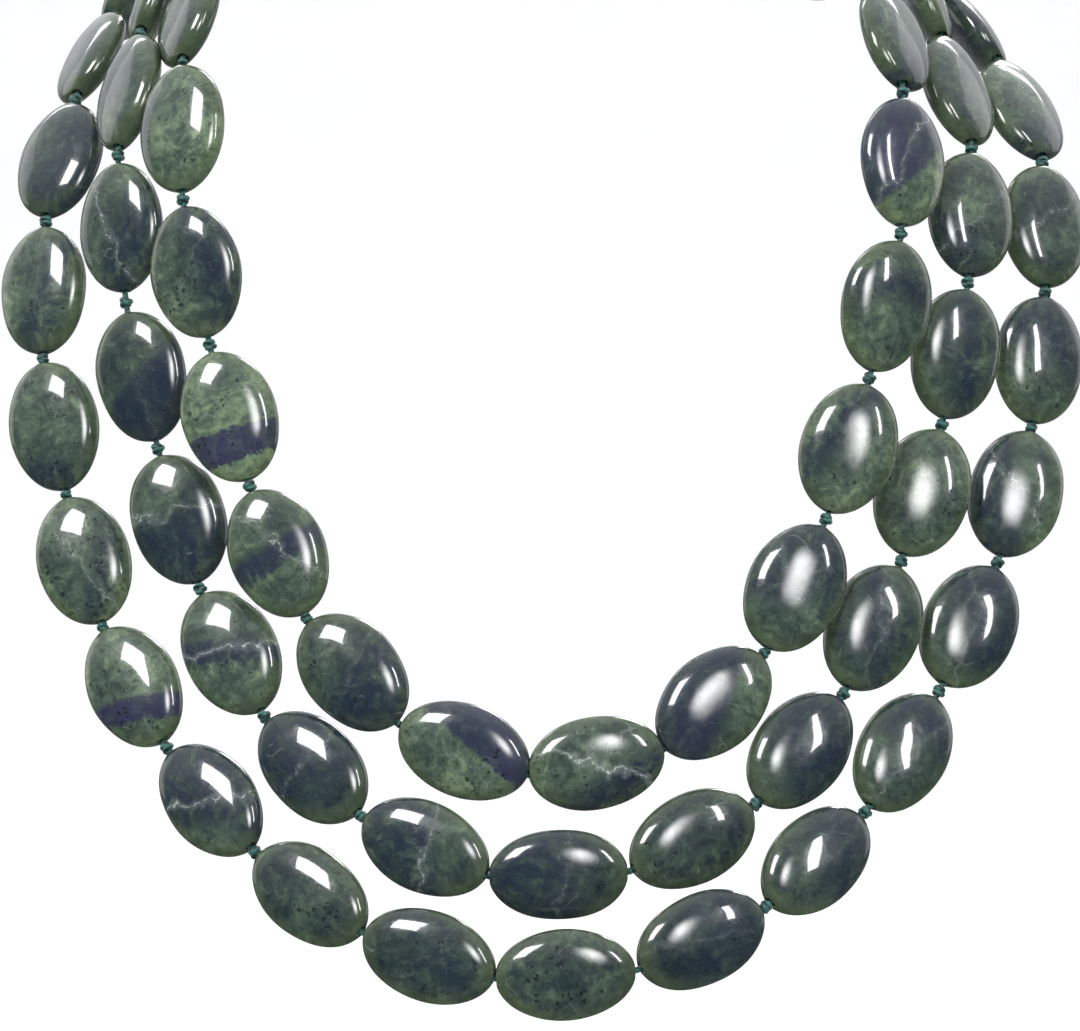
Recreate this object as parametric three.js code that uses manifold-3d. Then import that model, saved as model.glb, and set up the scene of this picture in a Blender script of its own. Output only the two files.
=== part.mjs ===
// A three-strand necklace of flat oval jade beads, as it hangs when worn.
// Each bead is drilled along its length and strung on thread, with a knot between beads.
// The strands meet at the nape in a slide-lock clasp: a slotted tube and a slide.
// Millimetres, +Z up, the wearer faces -Y. The origin is where the clasp rests on the nape.
import * as THREE from "three";
import { mergeVertices } from "three/addons/utils/BufferGeometryUtils.js";
import Module from "manifold-3d";

const wasm = await Module();
wasm.setup();

// Bead: a puffed oval.
const BEAD_LENGTH = 18;
const BEAD_THICKNESS = 5.2;
const BORE_RADIUS = 0.6;
const MOUTH_RADIUS = 0.95;
const PUFF = 2.4;
const BEAD_RINGS = [8, 48, 90, 132, 172];
const BEAD_SIDES = 8;

// Thread and its knots.
const THREAD_RADIUS = 0.35;
const THREAD_SIDES = 4;
const KNOT_RADIUS = 0.85;
const LEAST_KNOT = 0.42;
const WIDE_GAP = 1.8;
const END_GAP = 0.3;

// Clasp.
const TUBE_RADIUS = 2.6;
const TUBE_BORE = 1.9;
const TUBE_LENGTH = 27;
const TUBE_FLOOR = 0.8;
const SLOT_WIDTH = 1.5;
const SLIDE_RADIUS = 1.5;
const SLIDE_LENGTH = 25;
const WEB_THICKNESS = 0.8;
const WEB_REACH = 3.6;
const LOOP_RADIUS = 1.3;
const LOOP_WIRE = 0.4;
const LOOP_SIDES = 4;
const LOOP_STEPS = 8;
const LOOP_SPACING = 9.5;
const CLASP_SIDES = 10;
const CLASP_MIDDLE = 2.7;

// A bead's width at each height: the lowest beads are a little narrower.
const WIDTHS = [
  [-140, 11.8],
  [-110, 13],
];

// How many degrees a bead's face leans up at each height: little low on the chest, where it is
// steep, more below the shoulders, and less again at the nape.
const LEANS = [
  [-125, 10],
  [-80, 27],
  [-45, 27],
  [-20, 14],
];

// Each strand's route, one row for each bead's middle, from the clasp round the wearer's
// front and back to the clasp: x, y, z and the face's heading in degrees, 0 to the front.
const INNER_ROUTE = [
  [-24.5, -0.5, 12, -152],
  [-36.5, -14.5, 6, -133],
  [-44, -30, -5.5, -112],
  [-48, -46, -17, -84],
  [-48.5, -62, -28, -57],
  [-49.5, -72, -44, -30],
  [-47, -77, -64, -24],
  [-42, -82, -83, -8],
  [-35.5, -87, -101, -8],
  [-25.5, -92.5, -116.5, -8],
  [-10.5, -98, -126.5, -3],
  [7, -98.5, -128, 2],
  [23, -94.5, -120.5, 4],
  [33.5, -89, -105.5, 6],
  [41, -84, -87, 4],
  [46, -79, -68.5, 27],
  [49.5, -74, -49, 32],
  [48, -64, -31, 48],
  [47.5, -47.5, -19.5, 84],
  [44.5, -32, -8.5, 110],
  [38, -16.5, 3, 131],
  [26, -1.5, 11, 152],
];
const MIDDLE_ROUTE = [
  [-16.5, 1.5, 0, -164],
  [-33.5, -4.5, -2.5, -143],
  [-45, -17, -8.5, -125],
  [-51.5, -31, -16.5, -104],
  [-54.5, -48.5, -25.5, -78],
  [-57.5, -62, -38.5, -58],
  [-58, -69.5, -58, -32],
  [-54.5, -75.5, -78, -25],
  [-49, -80.5, -97, -10],
  [-42, -86.5, -114.5, -9],
  [-30.5, -94.5, -129, -7],
  [-15.5, -102, -138.5, -2],
  [2, -104.5, -142, 0],
  [19.5, -101, -137.5, 4],
  [34.5, -93.5, -127, 7],
  [44, -86, -111, 11],
  [51.5, -79.5, -93.5, 6],
  [56, -73.5, -75, 24],
  [59, -68, -56, 26],
  [58, -57, -38.5, 48],
  [53.5, -46.5, -25, 78],
  [50.5, -31.5, -16, 104],
  [45, -16.5, -8.5, 125],
  [33.5, -4, -3, 143],
  [16.5, 1.5, 0, 164],
];
const OUTER_ROUTE = [
  [-16.5, 2, -13.5, -164],
  [-35.5, -1, -14.5, -145],
  [-51.5, -11.5, -18, -122],
  [-60.5, -27, -24.5, -96],
  [-64, -43.5, -33, -54],
  [-67.5, -56.5, -48.5, -28],
  [-69.5, -64, -66.5, -25],
  [-67, -70, -85, -20],
  [-62.5, -76, -103, -9],
  [-55.5, -83, -119.5, -11],
  [-44, -92.5, -133.5, -8],
  [-30.5, -101.5, -145, -5],
  [-15, -108, -151.5, -2],
  [3, -110, -154.5, 0],
  [20.5, -107, -149.5, 3],
  [36, -99, -141, 5],
  [48, -89.5, -127.5, 7],
  [57.5, -81, -111.5, 6],
  [65, -73.5, -94, 4],
  [68, -67, -76, 21],
  [70, -60, -58, 25],
  [68, -49.5, -40.5, 38],
  [61, -36, -30, 74],
  [54, -19.5, -22, 112],
  [41, -4, -17, 137],
  [21.5, 2.5, -13.5, 160],
];

// Each strand's name and route, how many beads hang behind the neck on its left and right, and
// the height of its loops on the clasp.
const STRANDS = [
  { name: "inner", route: INNER_ROUTE, behind: [4, 4], loop: LOOP_SPACING },
  { name: "middle", route: MIDDLE_ROUTE, behind: [5, 5], loop: 0 },
  { name: "outer", route: OUTER_ROUTE, behind: [4, 4], loop: -LOOP_SPACING },
];

const JADE = new THREE.MeshStandardMaterial({ color: 0x34452f, roughness: 0.12 });
const CORD = new THREE.MeshStandardMaterial({ color: 0x2a6a5c, roughness: 0.7 });
const SILVER = new THREE.MeshStandardMaterial({ color: 0xc9c9c6, roughness: 0.25, metalness: 1 });

const radians = THREE.MathUtils.degToRad;

// The value at a height, read off a list of heights and values, lowest first.
function byHeight(list, height) {
  const above = list.findIndex(([listed]) => listed > height);
  if (above === 0) return list[0][1];
  if (above === -1) return list[list.length - 1][1];
  const [low, atLow] = list[above - 1];
  const [high, atHigh] = list[above];
  return THREE.MathUtils.mapLinear(height, low, high, atLow, atHigh);
}

// The direction a bead's face looks in, before it is squared to the thread.
function facing(heading, height) {
  const lean = radians(byHeight(LEANS, height));
  const turn = radians(heading);
  return new THREE.Vector3(
    Math.sin(turn) * Math.cos(lean),
    -Math.cos(turn) * Math.cos(lean),
    Math.sin(lean),
  );
}

// A frame on the strand: its middle, the way along it, its face and its side.
function makeFrame(middle, along, face) {
  const normal = face.clone().addScaledVector(along, -face.dot(along)).normalize();
  return { middle, along, normal, side: new THREE.Vector3().crossVectors(normal, along) };
}

// The knots of a route with the clasp's knots at its ends. Between two beads the thread bows a
// little to the outside of the line from middle to middle, so that a bead strung straight from
// knot to knot has its middle on the route.
function knotPlaces(route, clasp) {
  const middles = route.map(([x, y, z]) => new THREE.Vector3(x, y, z));
  const chain = [clasp[0], ...middles, clasp[1]];
  const last = chain.length - 1;
  const at = (i) => chain[THREE.MathUtils.clamp(i, 0, last)];
  return chain.slice(1).map((_, i) =>
    at(i).clone().add(at(i + 1)).multiplyScalar(5 / 8)
      .addScaledVector(at(i - 1), -1 / 8)
      .addScaledVector(at(i + 2), -1 / 8),
  );
}

// Every bead's frame, with the bead's width: it hangs straight from knot to knot.
function beadFrames(route, clasp) {
  const knots = knotPlaces(route, clasp);
  return route.map(([, , height, heading], i) => {
    const middle = knots[i].clone().lerp(knots[i + 1], 0.5);
    const along = knots[i + 1].clone().sub(knots[i]).normalize();
    const width = byHeight(WIDTHS, height);
    return { ...makeFrame(middle, along, facing(heading, height)), width };
  });
}

// A bead's half-width and half-thickness at an angle from its tip, in degrees.
function beadSection(angle, width) {
  const sine = Math.sin(radians(angle));
  const reach = Math.abs(Math.cos(radians(angle)));
  const dome = (BEAD_THICKNESS / 2) * Math.sqrt(1 - reach ** PUFF);
  return [Math.max((width / 2) * sine, MOUTH_RADIUS), Math.max(dome, MOUTH_RADIUS)];
}

// A station is a place on a body's skin: the frame there, how far along it, and the half-sizes
// of its section.
function station(frame, along, halfWidth, halfThickness) {
  return { frame, along, halfWidth, halfThickness };
}

function beadStations(frame) {
  return BEAD_RINGS.map((angle) => {
    const along = (-BEAD_LENGTH / 2) * Math.cos(radians(angle));
    return station(frame, along, ...beadSection(angle, frame.width));
  });
}

// A lathe bent along the stations: each ring of the lathe becomes that station's section, a
// circle for thread and a superellipse for a bead.
function sweep(stations, sides) {
  const profile = stations.map((s, j) => new THREE.Vector2(s.halfWidth, j));
  const lathe = new THREE.LatheGeometry(profile, sides);
  const place = lathe.attributes.position;
  const point = new THREE.Vector3();
  for (let i = 0; i <= sides; i++) {
    const turn = (2 * Math.PI * (i % sides)) / sides;
    const cosine = Math.cos(turn);
    const squarer = Math.sign(cosine) * Math.abs(cosine) ** (2 / PUFF);
    stations.forEach((s, j) => {
      const across = s.halfWidth === s.halfThickness ? cosine : squarer;
      point
        .copy(s.frame.middle)
        .addScaledVector(s.frame.along, s.along)
        .addScaledVector(s.frame.side, s.halfWidth * across)
        .addScaledVector(s.frame.normal, s.halfThickness * Math.sin(turn));
      place.setXYZ(i * stations.length + j, point.x, point.y, point.z);
    });
  }
  return lathe;
}

function drilledBead(frame) {
  const skin = beadStations(frame);
  const boreStart = station(frame, skin[0].along, BORE_RADIUS, BORE_RADIUS);
  const boreEnd = station(frame, -skin[0].along, BORE_RADIUS, BORE_RADIUS);
  return sweep([boreStart, ...skin, boreEnd, boreStart], BEAD_SIDES);
}

// How far from a bead's middle the thread's stations stand, just inside its drilled hole.
const INSIDE_BORE = BEAD_LENGTH / 2 - 0.4;

function threadAt(frame, along) {
  return station(frame, along, THREAD_RADIUS, THREAD_RADIUS);
}

function endAt(frame, along) {
  return station(frame, along, 0, 0);
}

// The knot in the middle of the gap between two beads. It is smaller in a narrow gap.
function knotBetween(from, to) {
  const start = from.middle.clone().addScaledVector(from.along, BEAD_LENGTH / 2);
  const end = to.middle.clone().addScaledVector(to.along, -BEAD_LENGTH / 2);
  const gap = end.clone().sub(start);
  const size = KNOT_RADIUS * THREE.MathUtils.clamp(gap.length() / WIDE_GAP, LEAST_KNOT, 1);
  const frame = makeFrame(start.lerp(end, 0.5), gap.normalize(), from.normal);
  return station(frame, 0, size, size);
}

// The thread through the beads of a strand's front, with the knots between them.
function frontThread(frames) {
  const last = frames[frames.length - 1];
  const stations = frames.flatMap((frame, i) => [
    ...(i > 0 ? [knotBetween(frames[i - 1], frame)] : []),
    threadAt(frame, -INSIDE_BORE),
    threadAt(frame, INSIDE_BORE),
  ]);
  return sweep(
    [endAt(frames[0], -INSIDE_BORE), ...stations, endAt(last, INSIDE_BORE)],
    THREAD_SIDES,
  );
}

// A strand's beads behind the neck on one side, on their thread. The thread starts in a knot at
// the clasp's loop, and ends just inside the first bead of the strand's front.
function backRun(frames, frontBead, claspKnot) {
  const stations = frames.flatMap((frame, i) => [
    ...(i > 0 ? [knotBetween(frames[i - 1], frame)] : []),
    ...beadStations(frame),
  ]);
  const stub = -INSIDE_BORE - END_GAP;
  return sweep(
    [
      endAt(claspKnot, -KNOT_RADIUS),
      station(claspKnot, 0, KNOT_RADIUS, KNOT_RADIUS),
      threadAt(claspKnot, KNOT_RADIUS),
      ...stations,
      knotBetween(frames[frames.length - 1], frontBead),
      threadAt(frontBead, stub),
      endAt(frontBead, stub),
    ],
    BEAD_SIDES,
  );
}

// The same frame looked at from the other end of the strand.
function reversed(frame) {
  const turned = makeFrame(frame.middle, frame.along.clone().negate(), frame.normal);
  return { ...turned, width: frame.width };
}

function solid(geometry) {
  const bare = geometry.clone();
  bare.deleteAttribute("normal");
  bare.deleteAttribute("uv");
  const merged = mergeVertices(bare, 1e-4);
  return new wasm.Manifold(
    new wasm.Mesh({
      numProp: 3,
      vertProperties: merged.attributes.position.array,
      triVerts: new Uint32Array(merged.index.array),
    }),
  );
}

function geometryOf(made) {
  const mesh = made.getMesh();
  return new THREE.BufferGeometry()
    .setAttribute("position", new THREE.BufferAttribute(mesh.vertProperties, 3))
    .setIndex(new THREE.BufferAttribute(mesh.triVerts, 1));
}

// The three loops on one side of the clasp, that the strands are tied to.
function withLoops(body, reach) {
  return [-1, 0, 1].reduce((joined, row) => {
    const loop = new THREE.TorusGeometry(LOOP_RADIUS, LOOP_WIRE, LOOP_SIDES, LOOP_STEPS);
    loop.rotateX(Math.PI / 2);
    loop.translate(reach, 0, row * LOOP_SPACING);
    return joined.add(solid(loop));
  }, body);
}

// The tube: a slotted pipe with a floor at its lower end.
function claspTube() {
  const outerEdge = Math.asin(SLOT_WIDTH / 2 / TUBE_RADIUS);
  const innerEdge = Math.asin(SLOT_WIDTH / 2 / TUBE_BORE);
  const outline = new THREE.Shape();
  outline.absarc(0, 0, TUBE_RADIUS, outerEdge, 2 * Math.PI - outerEdge);
  outline.absarc(0, 0, TUBE_BORE, 2 * Math.PI - innerEdge, innerEdge, true);
  const pipe = new THREE.ExtrudeGeometry(outline, {
    depth: TUBE_LENGTH,
    bevelEnabled: false,
    curveSegments: CLASP_SIDES,
  });
  pipe.translate(0, 0, -TUBE_LENGTH / 2);
  const floor = new THREE.CylinderGeometry(TUBE_RADIUS, TUBE_RADIUS, TUBE_FLOOR, CLASP_SIDES);
  floor.rotateX(Math.PI / 2);
  floor.translate(0, 0, -(TUBE_LENGTH + TUBE_FLOOR) / 2);
  return withLoops(solid(pipe).add(solid(floor)), TUBE_LOOP);
}

// The slide: a rod in the tube, with a web that comes out through the slot.
function claspSlide() {
  const rod = new THREE.CylinderGeometry(SLIDE_RADIUS, SLIDE_RADIUS, SLIDE_LENGTH, CLASP_SIDES);
  rod.rotateX(Math.PI / 2);
  const web = new THREE.BoxGeometry(WEB_REACH, WEB_THICKNESS, SLIDE_LENGTH);
  web.translate(WEB_REACH / 2, 0, 0);
  return withLoops(solid(rod).add(solid(web)), SLIDE_LOOP);
}

// Where the middles of the loops stand, left and right of the clasp's axis.
const TUBE_LOOP = -(TUBE_RADIUS + LOOP_RADIUS);
const SLIDE_LOOP = WEB_REACH + LOOP_RADIUS;

// A strand's end knot, just clear of its loop.
function endKnot(loopMiddle, height, side) {
  const clear = LOOP_RADIUS + LOOP_WIRE + END_GAP + KNOT_RADIUS;
  const middle = new THREE.Vector3(loopMiddle + side * clear, CLASP_MIDDLE, height);
  return makeFrame(middle, new THREE.Vector3(side, 0, 0), new THREE.Vector3(0, 1, 0));
}

const group = new THREE.Group();

function add(name, geometry, material, parent = group) {
  const mesh = new THREE.Mesh(geometry, material);
  mesh.name = name;
  parent.add(mesh);
}

for (const { name, route, behind, loop } of STRANDS) {
  const leftKnot = endKnot(TUBE_LOOP, loop, -1);
  const rightKnot = endKnot(SLIDE_LOOP, loop, 1);
  const frames = beadFrames(route, [leftKnot.middle, rightKnot.middle]);
  const left = frames.slice(0, behind[0]);
  const front = frames.slice(behind[0], frames.length - behind[1]);
  const right = frames.slice(frames.length - behind[1]).reverse().map(reversed);
  front.forEach((frame, i) => {
    const number = String(i + 1).padStart(2, "0");
    add(`${name}_bead_${number}`, drilledBead(frame), JADE);
  });
  add(`${name}_thread`, frontThread(front), CORD);
  add(`${name}_back_left`, backRun(left, front[0], leftKnot), JADE);
  add(
    `${name}_back_right`,
    backRun(right, reversed(front[front.length - 1]), rightKnot),
    JADE,
  );
}

const clasp = new THREE.Group();
clasp.position.set(0, CLASP_MIDDLE, 0);
add("clasp_tube", geometryOf(claspTube()), SILVER, clasp);
add("clasp_slide", geometryOf(claspSlide()), SILVER, clasp);
group.add(clasp);

export default group;
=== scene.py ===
"""A three-strand necklace of flat oval jade beads, as it hangs when worn.

Metres, +Z up, the wearer faces -Y. The origin is where the clasp rests on the nape. Each bead
is its own piece, strung on a twisted thread that is tied in an overhand knot after every bead.
"""
import math
from collections import namedtuple

import bmesh
import bpy
import numpy as np
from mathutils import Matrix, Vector

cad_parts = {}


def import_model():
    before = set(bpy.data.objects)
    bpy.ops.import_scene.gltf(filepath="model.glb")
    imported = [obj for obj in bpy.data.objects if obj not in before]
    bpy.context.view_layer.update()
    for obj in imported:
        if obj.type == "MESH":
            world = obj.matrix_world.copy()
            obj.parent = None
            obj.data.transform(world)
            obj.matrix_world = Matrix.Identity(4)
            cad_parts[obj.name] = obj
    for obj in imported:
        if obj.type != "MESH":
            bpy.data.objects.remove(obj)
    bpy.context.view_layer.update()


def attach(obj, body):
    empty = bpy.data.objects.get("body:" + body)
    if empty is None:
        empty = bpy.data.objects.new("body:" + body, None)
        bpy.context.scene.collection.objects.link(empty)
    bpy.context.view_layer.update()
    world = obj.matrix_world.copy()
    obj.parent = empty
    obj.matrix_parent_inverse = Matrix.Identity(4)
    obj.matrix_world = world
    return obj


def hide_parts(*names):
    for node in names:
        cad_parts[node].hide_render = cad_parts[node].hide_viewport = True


MM = 0.001
# Points closer than this are one point.
TOUCHING = 1e-7

# Bead: a puffed oval.
BEAD_LENGTH = 18 * MM
BEAD_THICKNESS = 5.2 * MM
BORE_RADIUS = 0.6 * MM
MOUTH_RADIUS = 0.95 * MM
COUNTERSINK = 0.3 * MM
PUFF = 2.4
BEAD_RINGS = 44
BEAD_SIDES = 60
# How much fuller a bead may be towards one end, and how uneven its faces are.
FULLER = 0.03
UNEVEN = 0.012
# Where the sine of the angle from the tip is below this, the section turns round.
ROUND_BELOW = 0.35
# How far apart the beads lie in the pattern of the stone, in millimetres.
SEED_REACH = 400

# Thread and its knots.
THREAD_RADIUS = 0.4 * MM
THREAD_SIDES = 10
FIRST_SIDE = np.array([0.3, 0.5, 0.8])
KNOT_RADIUS = 0.85 * MM
LEAST_KNOT = 0.42
WIDE_GAP = 1.8 * MM
KNOT_STEPS = 44
KNOT_TURNS = 2.6
INSIDE_BORE = BEAD_LENGTH / 2 - 0.4 * MM
BORE_STEPS = 6
END_GAP = 0.3 * MM
# How far a thread from behind the neck reaches from the middle of the first bead in front.
BACK_THREAD_END = INSIDE_BORE - 1.2 * MM
# A knot starts at any turn up to this, in radians, and the last one behind the neck at its own.
ANY_TURN = 6.28
LAST_KNOT_TURN = 1.0

# The thread's turn through a loop of the clasp.
TIE_STEPS = 26
TIE_OPENING = 0.15
TIE_HALF_WIDTH = 0.75 * MM
PAST_HOLE = 0.45 * MM

# Clasp.
TUBE_RADIUS = 2.6 * MM
TUBE_BORE = 1.9 * MM
TUBE_LENGTH = 27 * MM
TUBE_RINGS = 61
TUBE_SIDES = 90
TUBE_LIP = 0.12 * MM
BAND_RISE = 0.16 * MM
BAND_FROM_END = 1 * MM
BAND_HALF = 0.45 * MM
SLOT_WIDTH = 1.5 * MM
SLIDE_RADIUS = 1.5 * MM
SLIDE_LENGTH = 25 * MM
WEB_THICKNESS = 0.8 * MM
WEB_REACH = 3.6 * MM
WEB_SIDES = 36
LOOP_RADIUS = 1.3 * MM
LOOP_WIRE = 0.4 * MM
LOOP_SPACING = 9.5 * MM
LOOP_STEPS = 40
LOOP_SIDES = 14
SOLDER_RADIUS = 0.62 * MM
SOLDER_HALF_LENGTH = 0.75 * MM
SOLDER_STEPS = 12
SOLDER_SIDES = 20
CLASP_MIDDLE = 2.7 * MM
TUBE_LOOP = -(TUBE_RADIUS + LOOP_RADIUS)
SLIDE_LOOP = WEB_REACH + LOOP_RADIUS

# The clasp's turned parts in millimetres: radius, lower end, upper end, and the edges' radius.
TUBE_FOOT = (2.72, -14.3, -13.5, 0.3)
TUBE_BEAD = (1.1, -15, -13.9, 0.5)
SLIDE_ROD = (1.5, -12.5, 12.5, 0.35)
SLIDE_COLLAR = (1.85, 12, 13.2, 0.25)
SLIDE_KNOB = (1.35, 13, 15.1, 1)

# A bead's width at each height, in millimetres: the lowest beads are a little narrower.
WIDTHS = {-140: 11.8, -110: 13}

# How many degrees a bead's face leans up at each height: little low on the chest, where it is
# steep, more below the shoulders, and less again at the nape.
LEANS = {-125: 10, -80: 27, -45: 27, -20: 14}

# Each strand's route in millimetres, one row for each bead's middle, from the clasp round the
# front and back to the clasp: x, y, z and the face's heading in degrees, 0 to the front.
INNER_ROUTE = [
    (-24.5, -0.5, 12, -152), (-36.5, -14.5, 6, -133), (-44, -30, -5.5, -112),
    (-48, -46, -17, -84), (-48.5, -62, -28, -57), (-49.5, -72, -44, -30),
    (-47, -77, -64, -24), (-42, -82, -83, -8), (-35.5, -87, -101, -8),
    (-25.5, -92.5, -116.5, -8), (-10.5, -98, -126.5, -3), (7, -98.5, -128, 2),
    (23, -94.5, -120.5, 4), (33.5, -89, -105.5, 6), (41, -84, -87, 4),
    (46, -79, -68.5, 27), (49.5, -74, -49, 32), (48, -64, -31, 48),
    (47.5, -47.5, -19.5, 84), (44.5, -32, -8.5, 110), (38, -16.5, 3, 131),
    (26, -1.5, 11, 152),
]
MIDDLE_ROUTE = [
    (-16.5, 1.5, 0, -164), (-33.5, -4.5, -2.5, -143), (-45, -17, -8.5, -125),
    (-51.5, -31, -16.5, -104), (-54.5, -48.5, -25.5, -78), (-57.5, -62, -38.5, -58),
    (-58, -69.5, -58, -32), (-54.5, -75.5, -78, -25), (-49, -80.5, -97, -10),
    (-42, -86.5, -114.5, -9), (-30.5, -94.5, -129, -7), (-15.5, -102, -138.5, -2),
    (2, -104.5, -142, 0), (19.5, -101, -137.5, 4), (34.5, -93.5, -127, 7),
    (44, -86, -111, 11), (51.5, -79.5, -93.5, 6), (56, -73.5, -75, 24),
    (59, -68, -56, 26), (58, -57, -38.5, 48), (53.5, -46.5, -25, 78),
    (50.5, -31.5, -16, 104), (45, -16.5, -8.5, 125), (33.5, -4, -3, 143),
    (16.5, 1.5, 0, 164),
]
OUTER_ROUTE = [
    (-16.5, 2, -13.5, -164), (-35.5, -1, -14.5, -145), (-51.5, -11.5, -18, -122),
    (-60.5, -27, -24.5, -96), (-64, -43.5, -33, -54), (-67.5, -56.5, -48.5, -28),
    (-69.5, -64, -66.5, -25), (-67, -70, -85, -20), (-62.5, -76, -103, -9),
    (-55.5, -83, -119.5, -11), (-44, -92.5, -133.5, -8), (-30.5, -101.5, -145, -5),
    (-15, -108, -151.5, -2), (3, -110, -154.5, 0), (20.5, -107, -149.5, 3),
    (36, -99, -141, 5), (48, -89.5, -127.5, 7), (57.5, -81, -111.5, 6),
    (65, -73.5, -94, 4), (68, -67, -76, 21), (70, -60, -58, 25),
    (68, -49.5, -40.5, 38), (61, -36, -30, 74), (54, -19.5, -22, 112),
    (41, -4, -17, 137), (21.5, 2.5, -13.5, 160),
]

Strand = namedtuple("Strand", "route behind_left behind_right loop_height")
STRANDS = {
    "inner": Strand(INNER_ROUTE, 4, 4, LOOP_SPACING),
    "middle": Strand(MIDDLE_ROUTE, 5, 5, 0),
    "outer": Strand(OUTER_ROUTE, 4, 4, -LOOP_SPACING),
}

# What each front bead's stone looks like, from the left over the chest to the right.
# green: from 0, blackish, to 1, light green. A dark patch starts patch_from millimetres from the
# middle, runs towards the direction patch_towards (degrees, seen from the front, 0 right and 90
# up) and is patch_wide across, with an edge that is blur millimetres soft. vein: a pale line's
# strength, running in the direction vein_way.
Stone = namedtuple("Stone", "green patch_from patch_towards patch_wide blur vein vein_way specks")
NO_PATCH = (30, 0, 1, 1)
STONES = {
    "inner": [
        Stone(0.46, 5, -20, 4, 1.8, 0, 0, 0.3),
        Stone(0.72, 3, 165, 30, 2, 0, 0, 0.6),
        Stone(0.56, 0.5, 20, 30, 2, 0.2, 70, 0.5),
        Stone(0.78, 2, -72, 4.2, 0.25, 0, 0, 0.6),
        Stone(0.56, -1, -60, 3, 0.7, 0.5, -35, 0.4),
        Stone(0.46, -0.5, -40, 30, 1.8, 0.15, 60, 0.4),
        Stone(0.68, 0.9, 50, 30, 0.25, 0.2, -40, 0.6),
        Stone(0.55, 2, -60, 4, 1.5, 1.4, -16, 0.4),
        Stone(0.55, -1.5, 160, 30, 0.8, 0, 0, 0.2),
        Stone(0.5, -2.5, 90, 30, 2, 0.2, 120, 0.2),
        Stone(0.6, 0.5, 135, 3.5, 1.5, 0, 0, 0.4),
        Stone(0.58, 0.5, 80, 4, 1.8, 0.1, 100, 0.4),
        Stone(0.7, -2, 130, 30, 0.4, 0.6, 60, 0.2),
        Stone(0.45, 3, -60, 30, 1.8, 0, 0, 0.3),
    ],
    "middle": [
        Stone(0.42, *NO_PATCH, 0, 0, 0.3),
        Stone(0.48, 0.5, -20, 30, 1.6, 0.6, -65, 0.3),
        Stone(0.42, 0.2, -40, 30, 0.9, 0.12, -80, 0.3),
        Stone(0.44, -0.5, -75, 30, 1.2, 0.6, 15, 0.4),
        Stone(0.55, -1.2, -85, 3, 0.9, 0.9, 8, 0.5),
        Stone(0.36, -4, 120, 30, 3, 0.3, 50, 0.2),
        Stone(0.5, -2, 180, 30, 2, 0.6, 80, 0.3),
        Stone(0.38, -3, 180, 30, 3, 0.3, 85, 0.2),
        Stone(0.4, *NO_PATCH, 0, 0, 0.5),
        Stone(0.36, -3, 10, 30, 2.5, 0.1, 40, 0.2),
        Stone(0.44, -1.5, 0, 3, 1.5, 0.3, 80, 0.3),
        Stone(0.58, *NO_PATCH, 0.1, 30, 0.6),
        Stone(0.5, -1.6, 0, 3.6, 1.8, 0, 0, 0.3),
        Stone(0.52, 3, 220, 30, 2, 0.4, 40, 0.6),
        Stone(0.45, *NO_PATCH, 0, 0, 0.2),
    ],
    "outer": [
        Stone(0.4, *NO_PATCH, 0, 0, 0.2),
        Stone(0.38, 0, -10, 30, 3, 0, 0, 0.3),
        Stone(0.54, 0, -20, 3.5, 2.2, 0.2, 90, 0.5),
        Stone(0.5, 5, -90, 30, 1.8, 0, 0, 0.7),
        Stone(0.66, 1.5, -10, 3, 1.8, 0.5, -50, 0.9),
        Stone(0.62, 2.2, -75, 2.8, 0.4, 0, 0, 0.8),
        Stone(0.4, -3.5, 80, 30, 1.8, 0.8, 15, 0.2),
        Stone(0.39, *NO_PATCH, 0.1, 0, 0.6),
        Stone(0.37, 0, 40, 3, 2.5, 0.1, 50, 0.5),
        Stone(0.4, *NO_PATCH, 0, 0, 0.7),
        Stone(0.31, -2, 0, 30, 4, 0.2, 10, 0.3),
        Stone(0.4, 0, 10, 30, 2.2, 0.1, 70, 0.3),
        Stone(0.44, 1, 60, 30, 3, 0.4, 40, 0.3),
        Stone(0.42, -1.5, 20, 30, 2.5, 0.3, 80, 0.2),
        Stone(0.55, 0, 180, 30, 1.5, 0.5, -60, 0.3),
        Stone(0.52, -0.5, 60, 30, 1.5, 0.1, 20, 0.5),
        Stone(0.4, *NO_PATCH, 0.4, 30, 0.3),
        Stone(0.6, 3, -80, 30, 1.8, 0, 0, 0.3),
    ],
}
# The beads behind the neck take these in turn.
BACK_STONES = [
    Stone(0.5, *NO_PATCH, 0, 0, 0.4),
    Stone(0.42, 0, 40, 30, 1.8, 0.3, 60, 0.2),
    Stone(0.6, 2, 200, 3, 1.5, 0, 0, 0.5),
    Stone(0.36, -3, 90, 30, 1.8, 0.2, 20, 0.1),
]

Frame = namedtuple("Frame", "middle along side normal width")


def unit(vectors):
    return vectors / np.linalg.norm(vectors, axis=-1, keepdims=True)


def squared(face, along):
    """The face turned square to the way along, and the side that completes the frame."""
    normal = unit(face - along * np.sum(face * along, axis=-1, keepdims=True))
    return normal, np.cross(normal, along)


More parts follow.
